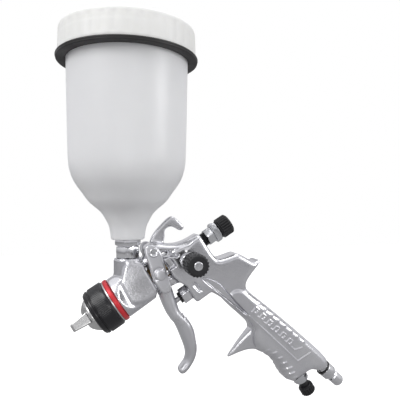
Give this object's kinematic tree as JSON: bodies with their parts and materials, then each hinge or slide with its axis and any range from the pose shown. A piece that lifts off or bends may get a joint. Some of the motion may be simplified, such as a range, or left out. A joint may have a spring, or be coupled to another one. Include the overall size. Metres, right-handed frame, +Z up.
{
  "type": "hvlp spray gun",
  "caption": "Gravity-feed paint spray gun with a translucent lidded cup above a polished body, curved trigger, side and rear control knobs, air cap with horns and a quick-connect air plug.",
  "frame": {"origin": "middle of the eye of the hanging hook, where the gun hangs on a rail", "axes": "+Z up with the cup upright, -X towards the nozzle, +X towards the handle, +Y across the gun, away from the pattern knob's side"},
  "size_m": [0.2334, 0.105, 0.289],
  "materials": {
    "polished_casting": "polished cast aluminium with a bright plated skin",
    "trigger_casting": "satin plated casting",
    "red_anodised": "satin red anodised aluminium",
    "black_anodised": "satin black anodised aluminium",
    "nickel_alloy": "matt nickel plating",
    "stainless_steel": "ground stainless steel",
    "chromed_steel": "bright chrome plating",
    "brass": "turned brass",
    "ptfe": "white packing",
    "spring_steel": "drawn spring wire",
    "black_plated": "black plated thread",
    "black_knob": "black knurled knob, satin",
    "black_rubber": "black sealing rubber",
    "cup_polythene": "milky translucent polythene",
    "lid_polythene": "white moulded polythene, satin",
    "strainer_nylon": "fine nylon mesh"
  },
  "bodies": {
    "gun": {"gun_body": "polished_casting", "red_ring": "red_anodised", "air_distributor": "nickel_alloy", "fluid_nozzle": "stainless_steel", "pivot_screw": "chromed_steel", "pivot_nut": "chromed_steel", "fluid_lock_nut": "chromed_steel", "pattern_housing": "chromed_steel", "valve_nut": "chromed_steel", "regulator_nut": "chromed_steel", "air_inlet_plug": "chromed_steel", "cup_fitting": "chromed_steel", "union_nut": "chromed_steel", "pivot_sleeve": "chromed_steel", "packing_nut": "brass", "valve_seat": "brass", "needle_packing": "ptfe", "fluid_housing": "black_plated", "valve_gland": "black_knob", "inlet_seal": "black_rubber", "cup_body": "cup_polythene", "cup_strainer": "strainer_nylon"},
    "ring_carrier": {"snap_ring": "spring_steel"},
    "ring": {"retaining_ring": "black_anodised"},
    "cap": {"air_cap": "nickel_alloy"},
    "trigger": {"trigger": "trigger_casting", "driver_bar": "chromed_steel", "driver_bar_caps": "chromed_steel"},
    "needle": {"fluid_needle": "stainless_steel", "needle_collar": "brass", "needle_spring": "spring_steel"},
    "valve": {"valve_stem": "stainless_steel", "valve_poppet": "brass", "valve_spring": "spring_steel"},
    "fluid_stop": {"fluid_screw": "stainless_steel"},
    "fluid_dial": {"fluid_knob": "black_knob"},
    "pattern_plunger": {"pattern_stem": "stainless_steel"},
    "pattern_dial": {"pattern_knob": "black_knob", "pattern_knob_screw": "chromed_steel"},
    "regulator_plunger": {"regulator_stem": "stainless_steel"},
    "regulator_dial": {"regulator_knob": "black_knob"},
    "lid_seal": {"lid_ring": "black_rubber"},
    "lid": {"cup_lid": "lid_polythene"}
  },
  "joints": [
    {"name": "trigger_pull", "type": "hinge", "parent": "gun", "child": "trigger", "pos_m": [-0.0152, 0, -0.013], "axis": [0, -1, 0], "range_deg": [0, 10], "stiffness_Nm_per_rad": 1.5, "springref_deg": -11.46},
    {"name": "needle_draw", "type": "slide", "parent": "gun", "child": "needle", "axis": [0.8434, 0, 0.5373], "range_m": [0, 0.0031]},
    {"name": "air_valve_push", "type": "slide", "parent": "gun", "child": "valve", "axis": [0.8434, 0, 0.5373], "range_m": [0, 0.0081]},
    {"name": "fluid_knob_travel", "type": "slide", "parent": "gun", "child": "fluid_stop", "axis": [0.8434, 0, 0.5373], "range_m": [0, 0.0025]},
    {"name": "fluid_knob_turn", "type": "hinge", "parent": "fluid_stop", "child": "fluid_dial", "pos_m": [0.04341, 0, 0.00501], "axis": [0.8434, 0, 0.5373], "range_deg": [0, 901]},
    {"name": "pattern_knob_travel", "type": "slide", "parent": "gun", "child": "pattern_plunger", "axis": [0, -1, 0], "range_m": [0, 0.00219]},
    {"name": "pattern_knob_turn", "type": "hinge", "parent": "pattern_plunger", "child": "pattern_dial", "pos_m": [0.0128, -0.03, -0.02066], "axis": [0, -1, 0], "range_deg": [0, 631]},
    {"name": "regulator_knob_travel", "type": "slide", "parent": "gun", "child": "regulator_plunger", "axis": [0.5373, 0, -0.8434], "range_m": [0, 0.0015]},
    {"name": "regulator_knob_turn", "type": "hinge", "parent": "regulator_plunger", "child": "regulator_dial", "pos_m": [0.11499, 0, -0.1308], "axis": [0.5373, 0, -0.8434], "range_deg": [0, 541]},
    {"name": "retaining_ring_travel", "type": "slide", "parent": "gun", "child": "ring_carrier", "axis": [-0.8434, 0, -0.5373], "range_m": [0, 0.003]},
    {"name": "retaining_ring_turn", "type": "hinge", "parent": "ring_carrier", "child": "ring", "pos_m": [-0.04936, 0, -0.0541], "axis": [-0.8434, 0, -0.5373], "range_deg": [0, 721]},
    {"name": "cup_lid_travel", "type": "slide", "parent": "gun", "child": "lid_seal", "axis": [0, 0, 1], "range_m": [0, 0.00501]},
    {"name": "cup_lid_turn", "type": "hinge", "parent": "lid_seal", "child": "lid", "pos_m": [-0.0325, 0, 0.14], "axis": [0, 0, 1], "range_deg": [0, 300]},
    {"name": "air_cap_turn", "type": "hinge", "parent": "ring_carrier", "child": "cap", "pos_m": [-0.0578, 0, -0.05947], "axis": [0.8434, 0, 0.5373], "range_deg": [-90, 90]}
  ],
  "couplings": [
    {"joint": "needle_draw", "follows": "trigger_pull", "m_per_rad": 0.017303},
    {"joint": "air_valve_push", "follows": "trigger_pull", "m_per_rad": 0.045378},
    {"joint": "fluid_knob_turn", "follows": "fluid_knob_travel", "rad_per_m": 6283.2},
    {"joint": "pattern_knob_turn", "follows": "pattern_knob_travel", "rad_per_m": 5026.5},
    {"joint": "regulator_knob_turn", "follows": "regulator_knob_travel", "rad_per_m": 6283.2},
    {"joint": "retaining_ring_turn", "follows": "retaining_ring_travel", "rad_per_m": 4188.8},
    {"joint": "cup_lid_travel", "follows": "cup_lid_turn", "m_per_rad": 0.00095493}
  ]
}
